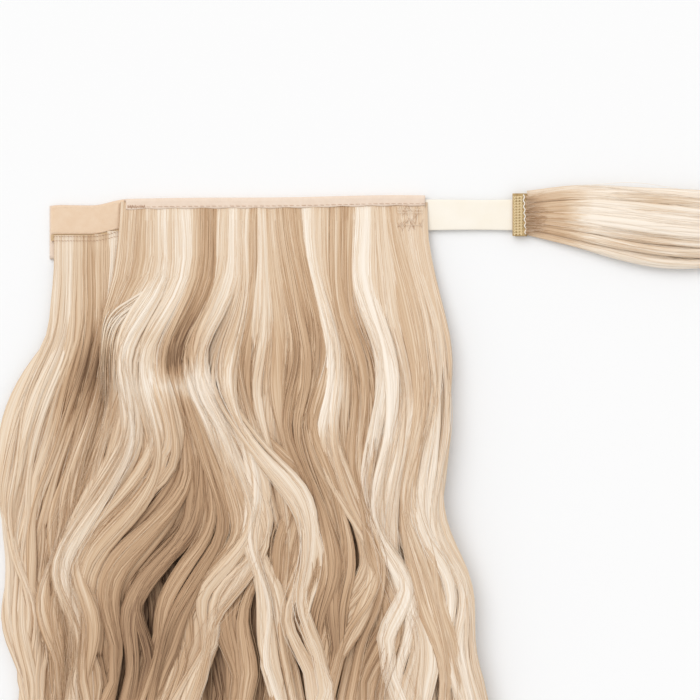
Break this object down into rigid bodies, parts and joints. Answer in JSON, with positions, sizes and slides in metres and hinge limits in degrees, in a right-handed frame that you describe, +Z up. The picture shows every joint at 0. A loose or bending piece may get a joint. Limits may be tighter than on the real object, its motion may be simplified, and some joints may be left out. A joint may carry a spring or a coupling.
{
  "type": "wrap-around ponytail hairpiece",
  "caption": "Long wavy blonde ponytail hairpiece sewn to a cloth band, with a loop patch, a hook strap and a small lock of hair that winds over the band.",
  "frame": {"origin": "middle of the band's underside, which lies on the table and faces the wearer's head in use", "axes": "+X along the band towards the hook strap and the small lock; -Y along the long hair towards its tips; +Z up from the table, out of the hair side"},
  "size_m": [0.471, 0.4056, 0.016],
  "materials": {
    "band_cloth": "matt beige woven cotton",
    "loop_pile": "matt soft brushed loops",
    "weft_thread": "machine-sewn golden thread",
    "hair": "satin synthetic hair in mixed blonde tones",
    "strap_tape": "smooth cream nylon tape",
    "strap_hooks": "cream nylon hooks"
  },
  "bodies": {
    "root": {"band_tape": "band_cloth", "loop_patch": "loop_pile", "upper_weft": "weft_thread", "lower_weft": "weft_thread", "upper_hair": "hair", "lower_hair": "hair", "hook_strap": "strap_tape", "hook_field": "strap_hooks", "lock_weft": "weft_thread", "wrap_lock": "hair"}
  },
  "joints": []
}
